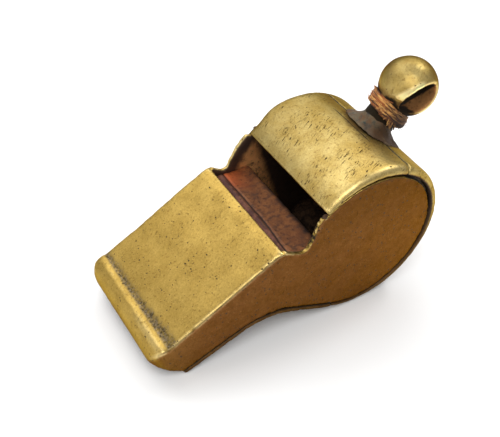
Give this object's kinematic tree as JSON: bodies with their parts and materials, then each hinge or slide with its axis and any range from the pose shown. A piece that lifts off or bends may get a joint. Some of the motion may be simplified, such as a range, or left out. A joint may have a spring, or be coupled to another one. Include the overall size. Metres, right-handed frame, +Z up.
{
  "type": "sports whistle",
  "caption": "Worn brass pea whistle with a flat mouthpiece, round drum, open window, loose cork pea and a bored ball loop for a lanyard.",
  "frame": {"origin": "on the table under the middle of the whistle's length and width, as it lies on its drum and on the tip of its mouthpiece", "axes": "+X from the mouthpiece towards the drum, +Y along the drum's axis and the loop's bore, +Z up"},
  "size_m": [0.047, 0.0196, 0.032],
  "materials": {
    "aged_brass": "worn, pitted, golden olive patina",
    "inner_brass": "red-brown tarnish",
    "loop_brass": "worn, polished by handling",
    "solder": "dull grey-brown solder",
    "twine": "frayed natural fibre",
    "cork": "dark cork"
  },
  "bodies": {
    "whistle": {"mouthpiece_shell": "aged_brass", "barrel_lip_band": "aged_brass", "barrel_back_band": "aged_brass", "mouthpiece_bottom_plate": "aged_brass", "airway_floor": "inner_brass", "near_cheek_solder": "solder", "far_cheek_solder": "solder", "lanyard_loop": "loop_brass", "loop_solder": "solder", "neck_twine": "twine"},
    "pea": {"cork_pea": "cork"}
  },
  "joints": [
    {"name": "pea_whirl", "type": "hinge", "parent": "whistle", "child": "pea", "pos_m": [0.00847, 0, 0.00949], "axis": [0, 1, 0], "continuous": true}
  ]
}
